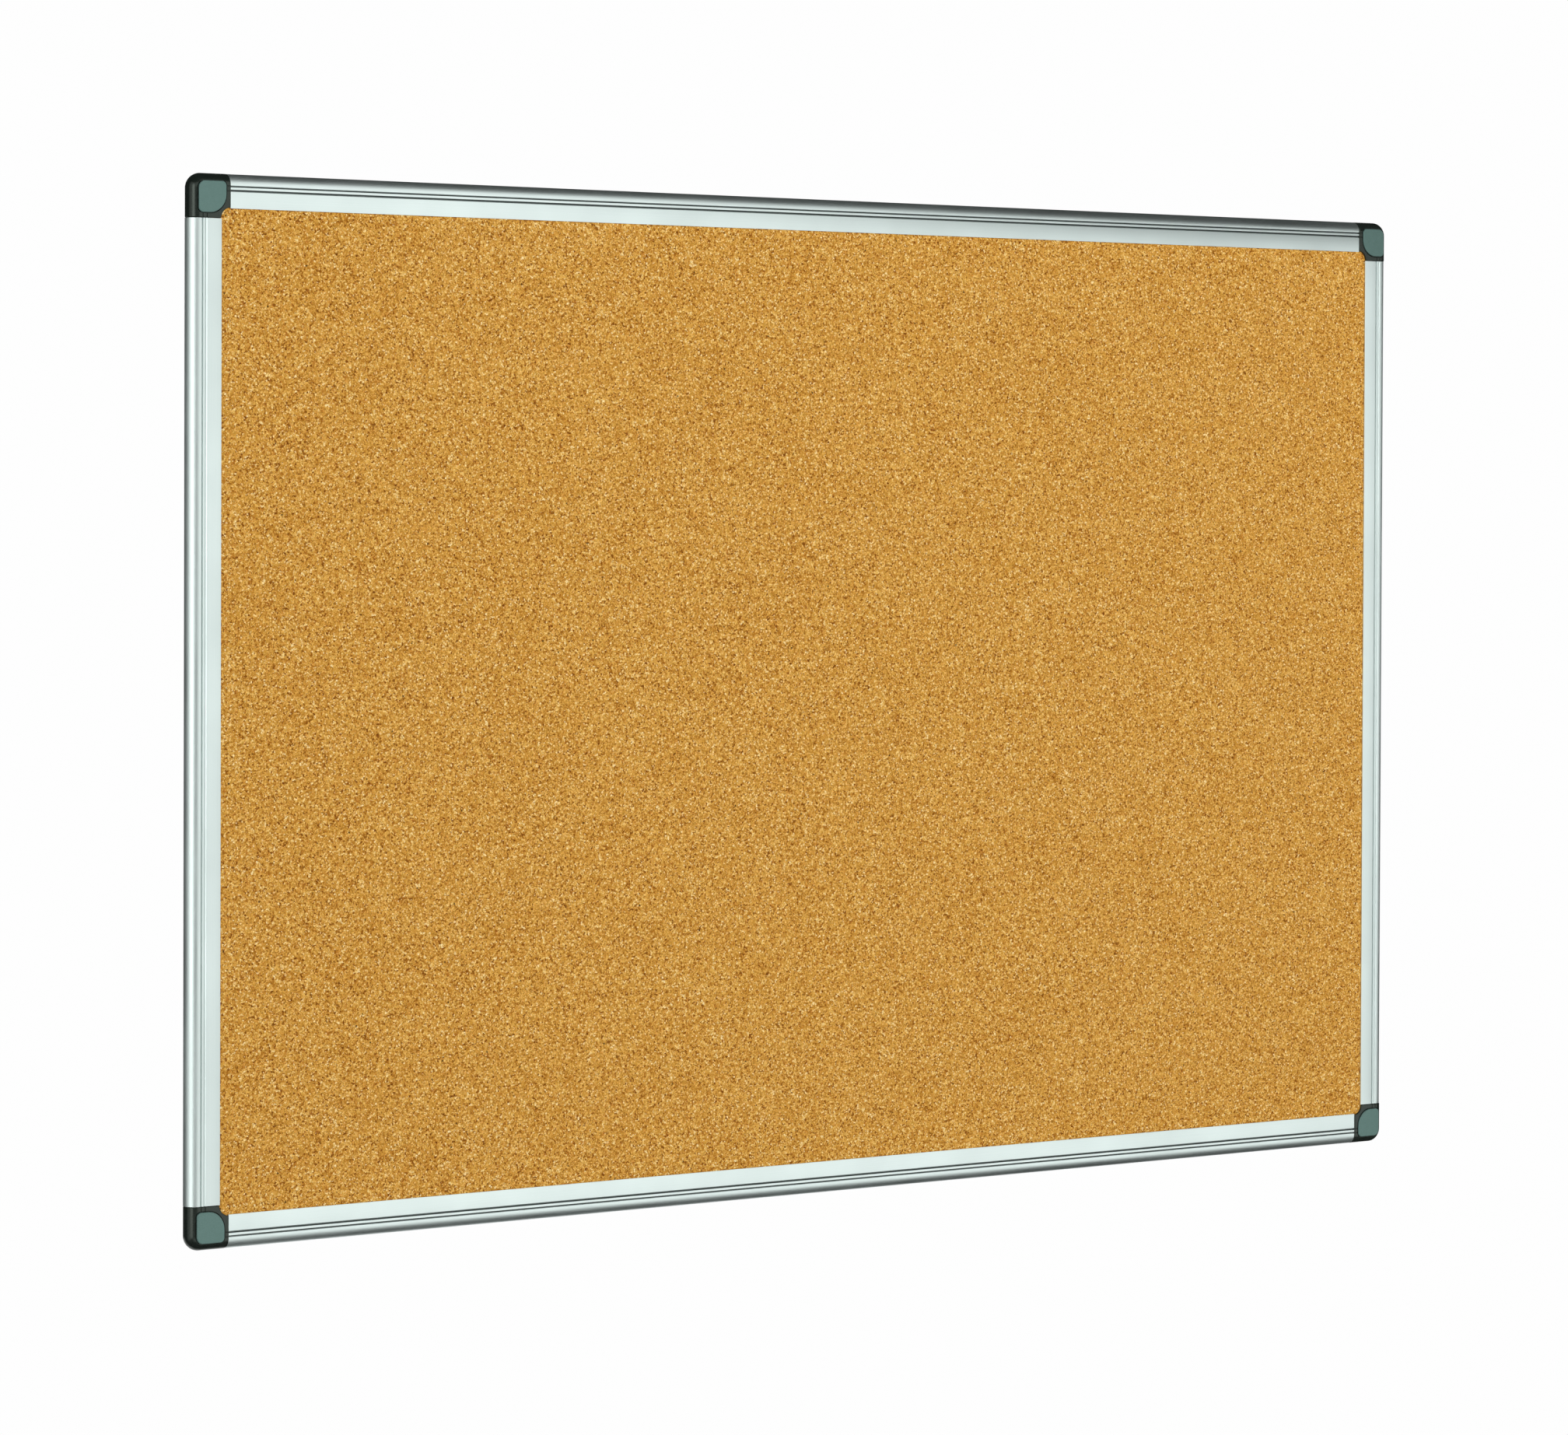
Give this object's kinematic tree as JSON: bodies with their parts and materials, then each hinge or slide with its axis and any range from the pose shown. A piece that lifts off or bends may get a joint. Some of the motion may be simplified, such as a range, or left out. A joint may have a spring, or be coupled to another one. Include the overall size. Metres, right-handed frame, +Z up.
{
  "type": "cork bulletin board",
  "caption": "Landscape wall-hung cork bulletin board with an aluminium frame, moulded corners and pull-off screw caps.",
  "frame": {"origin": "centre of the back plane, which lies against the wall: half way along the width and the height, on the back faces of the rails and corners", "axes": "-Y out of the cork face towards the viewer, +Y into the wall, +X to the viewer's right along the width, +Z up"},
  "size_m": [0.9, 0.0132, 0.6],
  "materials": {
    "cork": "pressed cork granules, matte",
    "softboard": "pressed wood fibre, matte",
    "backing": "grey fibre sheet, matte",
    "rail": "satin anodised, drawn lengthways",
    "corner": "near-black moulded plastic, semi-matte",
    "cap": "grey-green moulded plastic, fine grain",
    "screw": "zinc plated"
  },
  "bodies": {
    "board": {"cork_sheet": "cork", "softboard_core": "softboard", "backing_sheet": "backing", "rail_top": "rail", "rail_right": "rail", "rail_bottom": "rail", "rail_left": "rail", "corner_top_right": "corner", "corner_bottom_right": "corner", "corner_bottom_left": "corner", "corner_top_left": "corner", "screw_top_rail_left": "screw", "screw_top_rail_right": "screw", "screw_bottom_rail_left": "screw", "screw_bottom_rail_right": "screw", "screw_left_rail_top": "screw", "screw_left_rail_bottom": "screw", "screw_right_rail_top": "screw", "screw_right_rail_bottom": "screw"},
    "cap_top_left_body": {"cap_top_left": "cap"},
    "cap_top_right_body": {"cap_top_right": "cap"},
    "cap_bottom_left_body": {"cap_bottom_left": "cap"},
    "cap_bottom_right_body": {"cap_bottom_right": "cap"}
  },
  "joints": [
    {"name": "cap_top_left_pull", "type": "slide", "parent": "board", "child": "cap_top_left_body", "axis": [0, -1, 0], "range_m": [0, 0.008]},
    {"name": "cap_top_right_pull", "type": "slide", "parent": "board", "child": "cap_top_right_body", "axis": [0, -1, 0], "range_m": [0, 0.008]},
    {"name": "cap_bottom_left_pull", "type": "slide", "parent": "board", "child": "cap_bottom_left_body", "axis": [0, -1, 0], "range_m": [0, 0.008]},
    {"name": "cap_bottom_right_pull", "type": "slide", "parent": "board", "child": "cap_bottom_right_body", "axis": [0, -1, 0], "range_m": [0, 0.008]}
  ]
}
